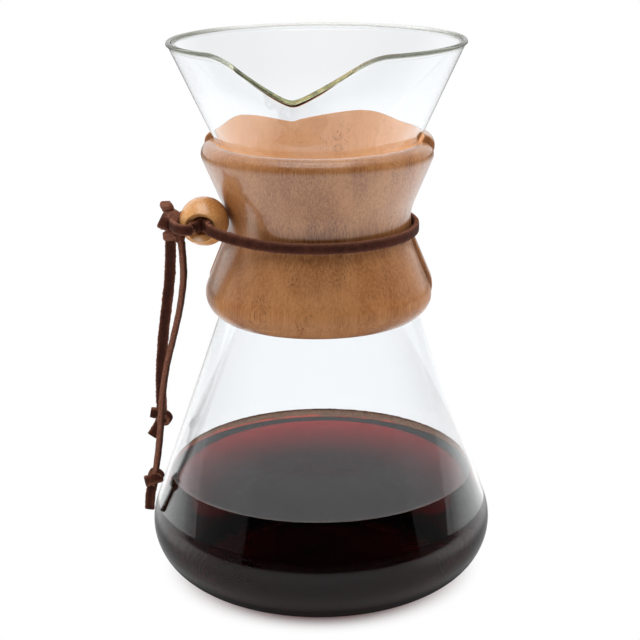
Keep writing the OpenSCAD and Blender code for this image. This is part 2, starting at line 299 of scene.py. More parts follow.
def wander(run, seed, wave):
    """A smooth value between about -1 and 1 that wanders along a lace."""
    phase = np.random.default_rng(seed).uniform(0, 2 * math.pi, 3)
    parts = [np.sin(2 * math.pi * run / (wave * s) + p) for s, p in zip((1.0, 0.43, 0.21), phase)]
    return (parts[0] + 0.6 * parts[1] + 0.4 * parts[2]) / 1.6


def lace_outline(half_w, half_t):
    """The lace's section, anticlockwise: softly crowned faces and rounded cut edges."""
    soft = 0.42 * half_t
    across = np.linspace(-1, 1, 5)
    top = [(x * (half_w - soft), half_t * (1 + crown * (1 - x * x))) for x in across[::-1]]
    left = [(-half_w, half_t * s) for s in (0.5, 0.0, -0.5)]
    low = [(x * (half_w - soft), -half_t * (1 + crown * (1 - x * x))) for x in across]
    right_side = [(half_w, half_t * s) for s in (-0.5, 0.0, 0.5)]
    return np.array(top + left + low + right_side)


def lace_rows(route, wide, seed, width=thong_w, thick=thong_t, ends=None, swell=None):
    """Rows of points of a lace along an even route. wide is one direction or one for each point."""
    swell = np.ones(len(route)) if swell is None else swell
    along = np.gradient(route, axis=0)
    if ends is not None:
        along[0], along[-1] = ends
    along = unit(along)
    wide = np.broadcast_to(np.asarray(wide, float), route.shape)
    wide = unit(wide - along * np.sum(along * wide, axis=1, keepdims=True))
    flat = np.cross(along, wide)
    run = np.arange(len(route)) * lace_step
    rng = np.random.default_rng(seed + 100)
    outline = lace_outline(width / 2, thick / 2)
    width_by = (1 + width_drift * wander(run, seed, 9 * mm)) * (1 + 0.6 * (swell - 1))
    thick_by = (1 + thick_drift * wander(run, seed + 1, 6 * mm)) * swell
    rows = []
    for i, centre in enumerate(route):
        fray = 1 + fray_most * edge_share * rng.uniform(-1, 1, len(outline))
        x = outline[:, 0] * fray * width_by[i]
        y = outline[:, 1] * thick_by[i]
        rows.append(centre + x[:, None] * wide[i] + y[:, None] * flat[i])
    return np.array(rows)


# %% A lace as a piece
def name_edges(piece, count, raw=0.0):
    """Stores the edge value on every point of a lace made of count rows.

    Cut ends count as edges, and raw is the least value anywhere, for a lace that shows its rough side."""
    values = np.ones(len(piece.data.vertices), np.float32)
    values[:count * len(edge_share)] = np.tile(np.maximum(edge_share, raw), count)
    piece.data.attributes.new("edge", "FLOAT", "POINT").data.foreach_set("value", values)


def lace(name, points, wide, seed, ends=None, raw=0.0, **sizes):
    """A lace through the given points, and its route."""
    route = smooth_route(points, lace_step)
    piece = skin(name, lace_rows(route, wide, seed, ends=ends, **sizes), ("fan", "fan"), 50)
    name_edges(piece, len(route), raw)
    return wear(piece, thong_leather), route


# %% [markdown]
# ## Hanging the tails from the knot
# Both tails start under the main knot, whose place is that of the hinge on which the solid tails swing. A
# simulated rope would find a hanging line too, but a leather lace keeps its old bends, so each route is a
# short list of points drawn as the lace hangs.

# %% Hang the tails
knot_at = joint_at["tail_long_swing"]
long_route = [(4.8, -2.4, -4.7), (5.1, -2.4, -11), (5, -2.3, -18.5), (3.2, -2.2, -30), (0.1, -2.2, -42.5),
              (-3.2, -2.3, -55), (-5.4, -2.4, -68), (-6.6, -2.4, -80.5), (-7.7, -2.4, -89.5),
              (-9, -2.4, -97.4)]
long_end = [(-10.3, -2.5, -103), (-11.9, -2.6, -109.5), (-12.5, -2.6, -116)]
short_route = [(-0.9, 2.8, -4.7), (-1.5, 3.9, -12), (-2.4, 4.9, -20.4), (-4.1, 5.8, -31), (-5.7, 6, -41),
               (-7, 6, -52), (-7.8, 5.95, -62), (-8.1, 5.9, -71)]
short_end = [(-7.8, 5.8, -79.5), (-10, 5.6, -83.5), (-12.3, 5.4, -87.2)]
edge_on = (0, 1, 0)
face_on = (1, 0, 0)


def from_knot(offsets):
    return knot_at + np.array(offsets) * mm


tail_long, long_line = lace("tail_long_lace", from_knot(long_route + long_end[:1]), edge_on, 11)
tail_short, short_line = lace("tail_short_lace", from_knot(short_route + short_end[:1]), face_on, 23)
print("tails in mm:", round(length_of(long_line) / mm, 1), round(length_of(short_line) / mm, 1))

# %% [markdown]
# ## Knots at the ends of the tails
# Each tail ends in an overhand knot: the lace goes once round itself and its cut end sticks out. A simulated
# knot is slow and never lands the same way twice. What one sees is a tight band round the lace, a loop behind
# it and the stub, so those are the stretches that are swept, round a core that closes the gaps.

# %% Bands of lace that make a knot
def band(name, centre, axis, radii, seed, start=0.0, turns=1.12, climb=0.0, **sizes):
    """A lace wound round an axis. radii are its half sizes across and deep, and climb is its rise in all."""
    axis = unit(axis)
    across = unit(np.cross((0, 1, 0.02), axis))
    deep = np.cross(axis, across)
    angles = start + np.linspace(0, 2 * math.pi * turns, max(12, int(40 * turns)))
    points = [np.asarray(centre) + across * radii[0] * math.cos(a) + deep * radii[1] * math.sin(a)
              + axis * climb * (i / (len(angles) - 1) - 0.5) for i, a in enumerate(angles)]
    return lace(name, points, axis, seed, **sizes)[0]


def joined(name, pieces):
    """Several laces as one piece."""
    with bpy.context.temp_override(active_object=pieces[0], selected_editable_objects=pieces):
        bpy.ops.object.join()
    pieces[0].name = name
    return pieces[0]


def from_point(point, *offsets):
    return [np.asarray(point) + np.array(o) * mm for o in offsets]


# %% Tie the end knots
def long_end_knot(name):
    """A slanting band in front, the loop behind it and the flat stub below."""
    middle, lower, tip = from_knot(long_end)
    front = band(name, middle, (-0.34, 0.42, 0.85), (2.9 * mm, 2.3 * mm), 31, start=2.4, turns=1.15,
                 climb=0.9 * mm, width=4.0 * mm, thick=1.9 * mm)
    loop_at = from_point(middle, (0.9, 0.7, 1.7))[0]
    loop = band(name + "_loop", loop_at, (0.1, 1, 0.3), (2.3 * mm, 1.7 * mm), 34, start=0.5, turns=1.0,
                width=3.2 * mm, thick=1.7 * mm)
    core_line = from_point(middle, (0.9, 0.3, 3.2), (0.3, 0.2, 0), (-0.5, 0, -2.4))
    core = lace(name + "_core", core_line, edge_on, 36, width=3.6 * mm, thick=3.4 * mm)[0]
    stub_line = [middle, (middle + lower) / 2, lower, tip]
    stub = lace(name + "_stub", stub_line, face_on, 38, width=3.9 * mm)[0]
    return joined(name, [front, loop, core, stub])


def short_end_knot(name):
    """A turn seen end on, with one cut end to the left and one hanging down."""
    middle, lower, tip = from_knot(short_end)
    turn_at = from_point(middle, (0.9, -0.2, 0.0))[0]
    turn = band(name, turn_at, (0.1, 1, 0.2), (1.95 * mm, 1.95 * mm), 47, start=1.2, turns=1.2,
                climb=1.2 * mm, width=4.0 * mm, thick=1.9 * mm)
    core_line = from_point(middle, (-0.6, 0, 4), (0.2, 0, 0.6), (-0.4, 0, -1.4))
    core = lace(name + "_core", core_line, face_on, 49, width=3.6 * mm, thick=3.0 * mm)[0]
    side_line = from_point(middle, (0.4, -0.2, 1.0), (-2.2, -0.3, 1.9), (-4.7, -0.5, 2.4))
    side = lace(name + "_side", side_line, (0.1, 0, 1), 51)[0]
    stub = lace(name + "_stub", [middle, lower, tip], (0.82, 0, -0.55), 53)[0]
    return joined(name, [turn, core, side, stub])


long_knot = long_end_knot("tail_long_knot_bands")
short_knot = short_end_knot("tail_short_knot_bands")

for tail, body, knot, line in ((tail_long, "long_tail", long_knot, long_line),
                               (tail_short, "short_tail", short_knot, short_line)):
    node = "tail_" + body.split("_")[0]
    stands_for(tail, node, body)
    stands_for(knot, node + "_knot", body)
print("end knots:", long_knot.name, short_knot.name)

# %% [markdown]
# ## The outline of the glass
# The carafe is two cones that meet at the neck. Its outline is three straight walls with rounded corners,
# the same as in the solid model. A free curve could follow the picture too, but straight walls and arcs can
# be moved in or out exactly, which gives the coffee and the bore of the collar from the same few sizes.

# %% Sizes of the glass
carafe_h = 217 * mm
rim_d = 115 * mm
funnel_lean = math.radians(24.7)
bowl_d = 138.6 * mm
bowl_lean = math.radians(19.5)
base_round = 21.6 * mm
neck_round = 40 * mm
wall = 1.2 * mm
floor_t = 3 * mm
punt_h = 1.2 * mm
foot_ring_w = 12 * mm

tan_bowl = math.tan(bowl_lean)
tan_funnel = math.tan(funnel_lean)
bowl_at_base = bowl_d / 2 + base_round * (tan_bowl + 1 / math.cos(bowl_lean) - 1)
funnel_at_base = rim_d / 2 - tan_funnel * carafe_h
neck_z = (bowl_at_base - funnel_at_base) / (tan_bowl + tan_funnel)
foot_r = bowl_at_base - base_round * (tan_bowl + 1 / math.cos(bowl_lean))
print("neck at", round(neck_z / mm, 2), "mm, foot radius", round(foot_r / mm, 2), "mm")


# %% Outlines of glass and collar
def rounded_corner(before, at, after, radius, steps):
    """Points along the arc that rounds the corner at, between its two neighbours."""
    u, v = unit(before - at), unit(after - at)
    half = math.acos(float(u @ v)) / 2
    centre = at + unit(u + v) * radius / math.sin(half)
    arms = [at + w * radius / math.tan(half) - centre for w in (u, v)]
    begin, end = (math.atan2(w[1], w[0]) for w in arms)
    turn = (end - begin + 3 * math.pi) % (2 * math.pi) - math.pi
    angles = begin + turn * np.linspace(0, 1, steps + 1)
    return centre + radius * np.stack([np.cos(angles), np.sin(angles)], axis=1)


def rounded(points, steps=24):
    """An open outline of (radius, height, rounding) whose inner corners are arcs."""
    flat = np.array([p[:2] for p in points])
    parts = [flat[:1]]
    for i in range(1, len(points) - 1):
        parts.append(rounded_corner(flat[i - 1], flat[i], flat[i + 1], points[i][2], steps))
    return np.vstack(parts + [flat[-1:]])


def glass_outline(off, base_z, top):
    """The glass's outline moved outward by off, from the axis at base_z up to the height top."""
    bowl = bowl_at_base + off / math.cos(bowl_lean)
    funnel = funnel_at_base + off / math.cos(funnel_lean)
    neck = (bowl - funnel) / (tan_bowl + tan_funnel)
    return rounded([(0, base_z, 0), (bowl - tan_bowl * base_z, base_z, base_round + off),
                    (bowl - tan_bowl * neck, neck, neck_round - off), (funnel + tan_funnel * top, top, 0)])


def spaced(outline, step):
    """The outline again, with a point about every step along it."""
    run = run_along(outline)
    return resampled(outline, run, np.linspace(0, run[-1], int(run[-1] / step) + 2))


def ring(r, z, angles):
    """A ring of points round the axis. Radius and height may change with the angle."""
    return np.stack([r * np.sin(angles), -r * np.cos(angles), z + 0 * angles], axis=-1)


def turned(outline, angles):
    """Rings of points: an outline of (radius, height) turned round the axis."""
    outline = np.asarray(outline)
    return ring(outline[:, :1], outline[:, 1:], angles)


print("widest bowl in mm:", round(2 * glass_outline(0, 0, carafe_h)[:, 0].max() / mm, 1))

# %% [markdown]
# ## Clear glass
# Borosilicate glass is nearly colourless. Only along the rim, where light runs a long way inside the glass,
# does it turn olive, so the rim has its own tint, with swirls at the spout. The front half of the rim is also
# painted dark grey, a painted shade for the dark line that the rim draws there, while the back of the rim
# stays pale. A Principled shader with full transmission bends the light. Where coffee wets the inside, the
# step from glass to coffee is small, so those faces get a lower index. A renderer would let the glass cast a
# full shadow, which thin glass does not do, so shadow rays pass it.

# %% Glass finishes
def glass_finish(name, index):
    f = Finish(name, Base_Color=(0.968, 0.986, 1.0), Roughness=0.0, IOR=index, Transmission_Weight=1.0)
    path = f.add("LightPath").outputs
    clear = f.add("BsdfTransparent")
    both = f.add("MixShader")
    f.set(both, {"0": f.maths("MAXIMUM", path["Is Shadow Ray"], path["Is Diffuse Ray"]),
                 "1": f.shader.outputs["BSDF"], "2": clear.outputs["BSDF"]})
    f.tree.links.new(both.outputs["Shader"], f.output.inputs["Surface"])
    return f


def rim_finish():
    f = glass_finish("rim_glass", 1.4)
    f.set(f.shader, {"Transmission Weight": 0.75})
    spout = f.add("Attribute", {"attribute_name": "spout"}).outputs["Fac"]
    front = f.add("Attribute", {"attribute_name": "front"}).outputs["Fac"]
    swirl = f.noise(f.place((1, 1, 1)), 330, 3, 0.6, 0.6)
    olive = f.mix(f.ramp(swirl, (0.38, 0.0), (0.62, 1.0)), (0.34, 0.37, 0.20), (0.90, 0.88, 0.46))
    # The front half of the rim is painted dark grey as a painted shade, and the back of the rim stays pale.
    plain = f.mix(front, (0.86, 0.88, 0.86), (0.26, 0.27, 0.22))
    f.set(f.shader, {"Base Color": f.mix(f.ramp(spout, (0.02, 0.0), (0.5, 1.0)), plain, olive)})
    return f


clear_glass = glass_finish("clear_glass", 1.47).material
wetted_glass = glass_finish("wetted_glass", 1.105).material
rim_glass = rim_finish().material
print("finishes made:", clear_glass.name, wetted_glass.name, rim_glass.name)

# %% [markdown]
# ## The carafe with its spout
# The lower part is plain turned glass. Above the collar the funnel's front is drawn out into a pouring
# spout while the glass is hot, so the rim dips in a V and the wall below it folds into a soft keel. A cut
# with a boolean would leave a sharp slot. Here each ring is moved outward by how strongly the spout acts at
# its angle, and the rings end in a fire-polished rim.

# %% Shape of the spout
collar_above = 30 * mm
collar_below = 40 * mm
rear_rise = 2.5 * mm
keel_clear = 3 * mm
collar_top = neck_z + collar_above
collar_foot = neck_z - collar_below
keel_z = collar_top + rear_rise + keel_clear
spout_drop = 14.5 * mm
spout_reach = 10.5 * mm
spout_half_angle = math.radians(29)
spout_turn = math.radians(0.5)
tip_blunt = 0.08
shoulder_blend = 0.25
keel_power = 1.4


def spout_share(angle):
    """1 at the spout's tip, 0 on the plain rim, with softened tip and shoulders."""
    u = np.abs(angle) / spout_half_angle
    v = 1 - np.sqrt(u * u + tip_blunt ** 2)
    soft = (v + shoulder_blend) ** 2 / (4 * shoulder_blend)
    return np.where(v > shoulder_blend, v, np.where(v < -shoulder_blend, 0, soft)) / (1 - tip_blunt)


print("spout's strength at half its angle:", round(float(spout_share(spout_half_angle / 2)), 2))

# %% [markdown]
# ## Rings of the funnel
# On the real carafe the wall of the funnel is a little thicker in front and much thicker at the spout, where
# the glass was gathered. A solidify modifier would give one thickness everywhere, so the inner rings are
# worked out with the outer ones. The points crowd towards the spout, where the wall bends most.

# %% Rings of the funnel
glass_sides = 384
crowding = 0.55
even_angles = np.linspace(-math.pi, math.pi, glass_sides, endpoint=False)
glass_angles = even_angles - crowding * np.sin(even_angles)
share = spout_share(glass_angles - spout_turn)
rim_z = carafe_h - spout_drop * share
join_z = collar_top
rim_height = 1.0 * mm
spout_thick = 2.0 * mm
wall_swell = 0.5 * mm
swell_turn = (math.radians(25), math.radians(60))
swell_z = (collar_top, collar_top + 6 * mm, collar_top + 26 * mm)


def eased(along):
    """A smooth step from 0 to 1."""
    return along * along * (3 - 2 * along)


def funnel_ring(level, inner):
    """Radius and height, at every angle, of a ring of the funnel between the collar and the rim.

    Inside, the front of the wall swells just above the collar and thins again further up."""
    z = join_z + (rim_z - rim_height - join_z) * level
    keel = np.clip((z - keel_z) / (rim_z - keel_z), 0, 1) ** keel_power
    r = funnel_at_base + tan_funnel * z + spout_reach * share * keel
    if inner:
        rise = np.clip((z - swell_z[0]) / (swell_z[1] - swell_z[0]), 0, 1)
        fall = np.clip((z - swell_z[1]) / (swell_z[2] - swell_z[1]), 0, 1)
        front = np.clip((swell_turn[1] - np.abs(glass_angles)) / (swell_turn[1] - swell_turn[0]), 0, 1)
        swell = wall_swell * eased(front) * (eased(rise) if fall.max() == 0 else np.cos(math.pi * fall))
        r = r - wall / math.cos(funnel_lean) - spout_thick * share * keel - swell
    return r, z


print("rim dips to", round(rim_z.min() / mm, 1), "mm at the spout")

# %% [markdown]
# ## One skin for the whole carafe
# The glass is one closed surface: from the hollow under the foot up the outside, over the rim, and down the
# inside to the floor. Two separate walls would do for a picture, but light bends rightly only in a closed
# one. The faces that coffee wets and those of the rim then get their own finish.

# %% Skin the carafe
funnel_rings = 34
rim_half_w = 1.0 * mm
rim_flare = 0.1 * mm
punt_r = foot_r - foot_ring_w
punt = [(r, punt_h * math.cos(math.pi / 2 * (r / punt_r) ** 1.5))
        for r in np.linspace(0.02, 1, 14) * punt_r]
below = glass_outline(0, 0, join_z)[1:]
inside = glass_outline(-wall, floor_t, join_z)[1:]
inside_floor = [(r, floor_t) for r in np.linspace(0.02, 0.98, 8) * inside[0, 0]]
levels = np.linspace(0, 1, funnel_rings)[1:]

outer_top = funnel_ring(1, False)
rim_middle = outer_top[0] - wall / 2 / math.cos(funnel_lean) + rim_flare
rim_rows = [ring(rim_middle + rim_half_w * math.cos(a), outer_top[1] + rim_height * math.sin(a), glass_angles)
            for a in np.radians(np.linspace(-18, 198, 15))]
glass_rows = np.concatenate([
    turned(punt, glass_angles),
    turned(below, glass_angles),
    [ring(*funnel_ring(level, False), glass_angles) for level in levels[:-1]],
    rim_rows,
    [ring(*funnel_ring(level, True), glass_angles) for level in levels[-2::-1]],
    turned(inside[::-1], glass_angles),
    turned(inside_floor[::-1], glass_angles)])
carafe = wear(skin("carafe_glass", glass_rows), clear_glass, wetted_glass, rim_glass)
stands_for(carafe, "carafe", "carafe")
print("carafe faces:", len(carafe.data.polygons))

# %% Tell wetted faces and rim apart
coffee_level = 43.5 * mm
# Angles over which the rim's painted shade fades from the front half to the pale back.
rim_shade_span = (math.radians(105), math.radians(140))
wetted_slot, rim_slot = 1, 2
rim_start = (len(punt) + len(below) + funnel_rings - 2) * glass_sides
inner_start = rim_start + len(rim_rows) * glass_sides
wet = 0
for face in carafe.data.polygons:
    first = min(face.vertices)
    if rim_start <= first < inner_start - glass_sides:
        face.material_index = rim_slot
    if first >= inner_start and face.center.z < coffee_level:
        face.material_index = wetted_slot
        wet += 1
# The attribute named front carries the rim's painted shade: 1 in front and 0 at the back.
rim_shade_share = np.clip((rim_shade_span[1] - np.abs(glass_angles)) / (rim_shade_span[1] - rim_shade_span[0]), 0, 1)
for attribute, around in (("spout", share), ("front", rim_shade_share)):
    values = np.zeros(len(carafe.data.vertices), np.float32)
    values[:len(glass_rows) * glass_sides] = np.tile(around, len(glass_rows))
    carafe.data.attributes.new(attribute, "FLOAT", "POINT").data.foreach_set("value", values)
print("wetted faces:", wet)

# %% [markdown]
# ## Coffee
# Brewed coffee looks black in the bowl, but it is a clear red-brown liquid: where light passes only a few
# millimetres of it, it glows red. An opaque brown would miss that. The body swallows blue first, then green,
# then red, and it does not bend light, because the wetted glass already does that at the wall. The top is a
# sheet of its own with the index of water. It creeps up the glass in a small meniscus.

# %% Pour the coffee
def liquid_finish(name, index):
    return Finish(name, Base_Color=(1.0, 1.0, 1.0), Roughness=0.0, IOR=index, Transmission_Weight=1.0)


def coffee_finish():
    f = liquid_finish("brewed_coffee", 1.001)
    dark = f.add("VolumeAbsorption", Color=(0.86, 0.36, 0.10), Density=300.0)
    f.tree.links.new(dark.outputs["Volume"], f.output.inputs["Volume"])
    return f.material


coffee_gap = 0.1 * mm
sheet_gap = 0.1 * mm
meniscus_rise = 0.5 * mm
meniscus_width = 0.8 * mm
liquid = spaced(glass_outline(-wall - coffee_gap, floor_t + coffee_gap, collar_top)[1:], 1.0 * mm)
wetted_wall = liquid[liquid[:, 1] < coffee_level + meniscus_rise]
edge_r = wetted_wall[-1, 0]
surface_r = edge_r - meniscus_width * np.linspace(0, 1, 9) ** 2 * 4
surface = [(r, coffee_level + meniscus_rise * math.exp(-(edge_r - r) / meniscus_width)) for r in surface_r]
calm = [(r, coffee_level) for r in np.linspace(surface_r[-1] * 0.9, 1 * mm, 12)]
sheet = np.array(surface + calm)
coffee_floor = [(r, floor_t + coffee_gap) for r in np.linspace(1 * mm, wetted_wall[0, 0], 8)[:-1]]
body = np.vstack([coffee_floor, wetted_wall[:-1], sheet - (0, sheet_gap)])
coffee = wear(skin("brewed_coffee", turned(body, glass_angles)), coffee_finish())
coffee_top = wear(skin("coffee_surface", turned(sheet, glass_angles), (None, "fan")),
                  liquid_finish("coffee_surface", 1.333).material)
print("coffee surface radius in mm:", round(edge_r / mm, 2))

# %% [markdown]
# ## A line of foam
# Where the coffee meets the glass, a thin line of fine foam stays, and at the back it spreads to a brown film
# of small bubbles. Painting it on the coffee would leave it flat, so the line is a ring of small lumps on the
# meniscus, and the film a sheet with an uneven inner edge.

# %% Leave the foam line
def foam_finish():
    f = Finish("coffee_foam", Roughness=0.55, Specular_IOR_Level=0.3)
    bubbles = f.noise(f.place((1, 1, 1)), 1300, 3, 0.6)
    froth = f.mix(f.ramp(bubbles, (0.35, 0.0), (0.65, 1.0)), (0.085, 0.040, 0.026), (0.26, 0.165, 0.115))
    f.set(f.shader, {"Base Color": froth, "Normal": f.bump(bubbles, 0.3 * mm)})
    return f.material


foam_rng = np.random.default_rng(5)
foam_sides = 720
foam_angles = np.linspace(-math.pi, math.pi, foam_sides, endpoint=False)
at_back = np.clip(0.1 - np.cos(foam_angles), 0, 1)
uneven = sum(np.sin(k * foam_angles + p) for k, p in zip((5, 9, 17, 31), foam_rng.uniform(0, 6, 4))) / 4
foam_size = (0.07 + 0.22 * at_back) * mm * (1 + 0.5 * foam_rng.uniform(-1, 1, foam_sides))
ragged = 1 + 0.35 * uneven + 0.1 * foam_rng.uniform(-1, 1, foam_sides)
film_width = (0.3 + 6.5 * at_back ** 1.5 * ragged) * mm
film_lift = 0.06 * mm
foam_r = edge_r - 0.3 * mm
foam_z = surface[0][1] + 0.05 * mm

foam_rows = [ring(foam_r + foam_size * math.cos(a), foam_z + foam_size * math.sin(a), foam_angles)
             for a in np.linspace(0, 2 * math.pi, 9)]
film_rows = []
for t in np.linspace(0, 1, 9):
    inward = film_width * t
    height = coffee_level + film_lift + meniscus_rise * np.exp(-inward / meniscus_width)
    film_rows.append(ring(edge_r - 0.1 * mm - inward, height, foam_angles))
foam = wear(skin("coffee_foam", foam_rows, (None, None)), foam_finish())
film = wear(skin("coffee_film", film_rows, (None, None)), foam.data.materials[0])
for piece in (coffee, coffee_top, foam, film):
    stands_for(piece, "coffee", "carafe")
print("foam line faces:", len(foam.data.polygons))

# %% [markdown]
# ## Turned wood
# Collar and bead are turned from light hardwood and lacquered. The grain runs upright in the collar: pores
# show as short dark dashes, growth rings as broad bands of warmer and paler colour. The pattern is a solid
# one, cut by the turned shape as on a lathe, so no unwrapping is needed. Hands have rubbed the rounding at
# the foot of the collar matt. The bore has no lacquer, and its wood is painted much paler, as painted light
# for the light that falls into it through the funnel.

# %% Wood finish
wood_gloss = 0.4


def wood_finish(name, pale, warm, pore, along, pores=0.655, coat=1.0, matt=None):
    """Solid wood whose grain runs along a direction.

    A lower value of pores gives more of them, coat is the lacquer, and matt gives the two heights between
    which it is rubbed off."""
    f = Finish(name, Coat_Weight=coat, Coat_Roughness=0.16, Coat_IOR=1.5, Specular_IOR_Level=wood_gloss)

    def stretched(by):
        return f.place(tuple(by if a else 1.0 for a in along))

    broad = f.noise(stretched(0.22), 95, 3, 0.5, 0.4)
    streak = f.noise(stretched(0.035), 1100, 4, 0.65)
    fibre = f.noise(stretched(0.04), 1900, 3, 0.65)
    pore_noise = f.noise(stretched(0.035), 2900, 1, 0.5)
    crowd = f.noise(stretched(0.3), 130, 2, 0.5)
    colour = f.mix(f.ramp(broad, (0.36, 0.0), (0.66, 1.0)), pale, warm)
    colour = f.mix(f.ramp(streak, (0.35, 0.0), (0.72, 0.7)), colour, warm)
    colour = f.mix(f.ramp(fibre, (0.42, 0.0), (0.66, 0.75)), colour, pale)
    dashes = f.ramp(f.maths("ADD", pore_noise, f.maths("MULTIPLY", f.maths("SUBTRACT", crowd, 0.5), 0.5)),
                    (pores, 0.0), (pores + 0.05, 0.75))
    colour = f.mix(dashes, colour, pore)
    height = f.maths("SUBTRACT", f.maths("MULTIPLY", fibre, 0.2), dashes)
    f.set(f.shader, {
        "Base Color": colour,
        "Roughness": f.ramp(streak, (0.3, 0.30), (0.7, 0.42)),
        "Normal": f.bump(height, 0.08 * mm, 0.5)})
    if matt:
        up = f.add("SeparateXYZ", Vector=f.place((1, 1, 1))).outputs["Z"]
        rise = f.add("MapRange", Value=up, **{"From Min": matt[0], "From Max": matt[1]}).outputs["Result"]
        rubbed = f.ramp(rise, (0.0, 1.0), (0.3, 0.35), (0.6, 0.15), (1.0, 1.0))
        f.set(f.shader, {"Coat Weight": f.maths("MULTIPLY", rubbed, coat),
                         "Specular IOR Level": f.maths("MULTIPLY", rubbed, wood_gloss)})
    return f.material


upright_grain = (0, 0, 1)
level_grain = (0, 1, 0)
rubbed_foot = (collar_foot + 1.5 * mm, collar_foot + 15 * mm)
collar_wood = wood_finish("collar_wood", pale=(0.48, 0.220, 0.085), warm=(0.27, 0.096, 0.027),
                          pore=(0.105, 0.04, 0.014), along=upright_grain, matt=rubbed_foot)
# The bore has no lacquer, and its colours are painted much paler, as painted light falling in through the
# funnel.
bare_bore_painted_light = wood_finish("bare_bore_painted_light", pale=(0.88, 0.475, 0.24), warm=(0.75, 0.35, 0.145),
                        pore=(0.40, 0.18, 0.08), along=upright_grain, pores=0.68, coat=0.0)
bead_wood = wood_finish("bead_wood", pale=(0.82, 0.43, 0.155), warm=(0.53, 0.21, 0.050),
                        pore=(0.22, 0.085, 0.028), along=level_grain, pores=0.68)
print("finishes made:", collar_wood.name, bare_bore_painted_light.name, bead_wood.name)

# %% [markdown]
# ## The collar in two halves
# The collar is turned in one piece and sawn in two, so that it can be put round the neck. Each half is a
# slice of the same ring: an hourglass outside, the glass's own shape inside, and flat sawn faces with the
# edges broken by sandpaper. A ring cut by a boolean would keep hard edges. Here the slice is skinned section
# by section round the axis, and the last sections draw in a little to round those edges.

# %% Section of the collar
collar_gap = 0.3 * mm
collar_lean = math.radians(22.6)
top_lip_w = 5.5 * mm
foot_lip_w = 4.8 * mm
top_lip_round = 4.6 * mm
foot_lip_round = 9.8 * mm
waist_round = 25 * mm
seam_gap = 1.6 * mm
edge_round = 0.9 * mm

tan_collar = math.tan(collar_lean)
lip_spread = tan_collar + 1 / math.cos(collar_lean) - 1
top_lip_r = funnel_at_base + collar_gap / math.cos(funnel_lean) + tan_funnel * collar_top + top_lip_w
foot_lip_r = bowl_at_base + collar_gap / math.cos(bowl_lean) - tan_bowl * collar_foot + foot_lip_w
top_corner_r = top_lip_r + top_lip_round * lip_spread
foot_corner_r = foot_lip_r + foot_lip_round * lip_spread
waist_z = (collar_top + collar_foot) / 2 + (foot_corner_r - top_corner_r) / (2 * tan_collar)
waist_corner_r = top_corner_r - tan_collar * (collar_top - waist_z)
print("collar lips in mm:", round(2 * top_lip_r / mm, 1), round(2 * foot_lip_r / mm, 1))


# %% Saw the collar in two
def collar_section(rise):
    """The closed section of the collar, moved up by rise, and the count of its points outside.

    The outside goes up first, and then the bore goes down."""
    outside = rounded([(0, collar_foot + rise, 0), (foot_corner_r, collar_foot + rise, foot_lip_round),
                       (waist_corner_r, waist_z + rise, waist_round),
                       (top_corner_r, collar_top + rise, top_lip_round), (0, collar_top + rise, 0)])
    outside = spaced(outside, 0.25 * mm)
    glass = glass_outline(collar_gap, 0, carafe_h)[2:]
    clear = outside[:, 0] > np.interp(outside[:, 1], glass[:, 1], glass[:, 0])
    wood = outside[clear]
    heights = np.linspace(wood[-1, 1], wood[0, 1], 70)[1:-1]
    bore = np.stack([np.interp(heights, glass[:, 1], glass[:, 0]), heights], axis=1)
    wood = spaced(wood, 0.9 * mm)
    return np.vstack([wood, bore]), len(wood)


def drawn_in(section, by):
    """A closed section whose points move inward by a distance."""
    along = unit(np.roll(section, -1, axis=0) - np.roll(section, 1, axis=0))
    return section + by * np.stack([-along[:, 1], along[:, 0]], axis=1)


def collar_half(name, rise, side):
    """One half of the collar: side is -1 for the front and 1 for the rear."""
    section, outside = collar_section(rise)
    rows = []

    def cut(a, left):
        """A section near the saw cut, drawn in to round its edges by the angle a."""
        s = drawn_in(section, edge_round * (1 - math.sin(a)))
        y = seam_gap / 2 + edge_round * (1 - math.cos(a))
        x = np.sqrt(s[:, 0] ** 2 - y * y)
        rows.append(np.stack([-x if left else x, np.full(len(s), side * y), s[:, 1]], axis=1))

    bends = np.radians([0, 30, 60])
    for a in bends:
        cut(a, True)
    from_seam = np.arcsin((seam_gap / 2 + edge_round) / section[:, 0])
    for t in np.linspace(0, 1, 110):
        a = math.pi - from_seam - t * (math.pi - 2 * from_seam)
        x, y = section[:, 0] * np.cos(a), side * section[:, 0] * np.sin(a)
        rows.append(np.stack([x, y, section[:, 1]], axis=1))
    for a in bends[::-1]:
        cut(a, False)
    rows = rows if side > 0 else rows[::-1]
    half = wear(skin(name, rows, ("face", "face"), 40), collar_wood, bare_bore_painted_light)
    # Faces of the bore take the second finish, whose wood is painted paler as painted light.
    for face in half.data.polygons:
        places = [v % len(section) for v in face.vertices]
        if len(places) == 4 and all(p >= outside - 1 or p == 0 for p in places):
            face.material_index = 1
    return half


for name, node, body, rise, side in (("collar_front_wood", "collar_front_half", "front_half", 0.0, -1),
                                     ("collar_rear_wood", "collar_rear_half", "rear_half", rear_rise, 1)):
    half = collar_half(name, rise, side)
    stands_for(half, node, body)
    print(name, "faces:", len(half.data.polygons))

# %% [markdown]
# ## The bead
# The bead is a turned ball with a bored and countersunk hole. It hangs on the lace with its hole nearly
# level. A ball with a boolean hole would do, but turning the outline about the hole's own axis gives clean
# rings of faces.

# %% Turn the bead
bead_at = joint_at["bead_spin"]
hole_dir = unit([j["axis"] for j in frame["joints"] if j["name"] == "bead_spin"][0])
bead_r = 9.5 * mm
hole_r = 3.7 * mm
mouth_r = 6 * mm
hole_side = np.array([1.0, 0, 0])
hole_up = np.cross(hole_side, hole_dir)


